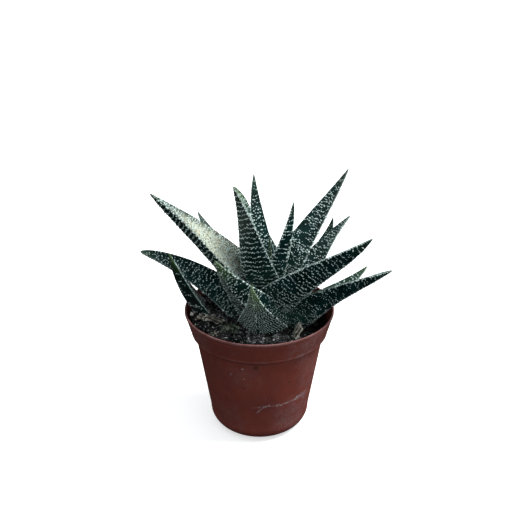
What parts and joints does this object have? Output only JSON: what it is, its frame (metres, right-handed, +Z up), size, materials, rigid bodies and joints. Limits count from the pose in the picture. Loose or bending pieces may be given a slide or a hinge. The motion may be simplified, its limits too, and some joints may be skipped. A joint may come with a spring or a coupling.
{
  "type": "potted gasterhaworthia",
  "caption": "Succulent with a rosette of stiff keeled dark leaves, rough with white tubercles, standing in soil in a thin tapered nursery pot of terracotta-coloured plastic.",
  "frame": {"origin": "centre of the pot's flat base, on the surface that the pot stands on", "axes": "+Z up; -Y towards the viewer of the picture and +X to that viewer's right"},
  "size_m": [0.1345, 0.0975, 0.1465],
  "materials": {
    "leaf": "satin dark green skin with raised white tubercles",
    "young_leaf": "satin fresh green skin with raised white tubercles",
    "stem": "dull yellow-green",
    "pot": "matte terracotta colour, scuffed and dusty",
    "soil": "dark crumbled peat and fibre",
    "bark": "grey-brown weathered bark",
    "fibre": "dry grey matted fibre",
    "pumice": "pale porous"
  },
  "bodies": {
    "root": {"pot": "pot", "soil": "soil", "stem": "stem", "leaf_youngest": "young_leaf", "leaf_centre_left": "leaf", "leaf_centre_right": "leaf", "leaf_centre_back": "leaf", "leaf_front": "leaf", "leaf_right_low": "leaf", "leaf_right": "leaf", "leaf_front_left": "leaf", "leaf_back_inner": "leaf", "leaf_upper_right": "leaf", "leaf_upper_left": "leaf", "leaf_back_right": "leaf", "leaf_left_low": "leaf", "leaf_left_half_buried": "leaf", "leaf_back_right_small": "leaf", "leaf_right_low_small": "leaf", "leaf_back_left_small": "leaf", "leaf_behind_right": "leaf", "leaf_behind": "leaf", "leaf_behind_left": "leaf", "bark_flake_long": "bark", "bark_chip_curled": "bark", "bark_flake_upright": "bark", "bark_flake_small": "bark", "bark_flake_back": "bark", "pumice_pebble": "pumice", "fibre_clump_left": "fibre", "fibre_clump_front": "fibre", "fibre_clump_right": "fibre"}
  },
  "joints": []
}
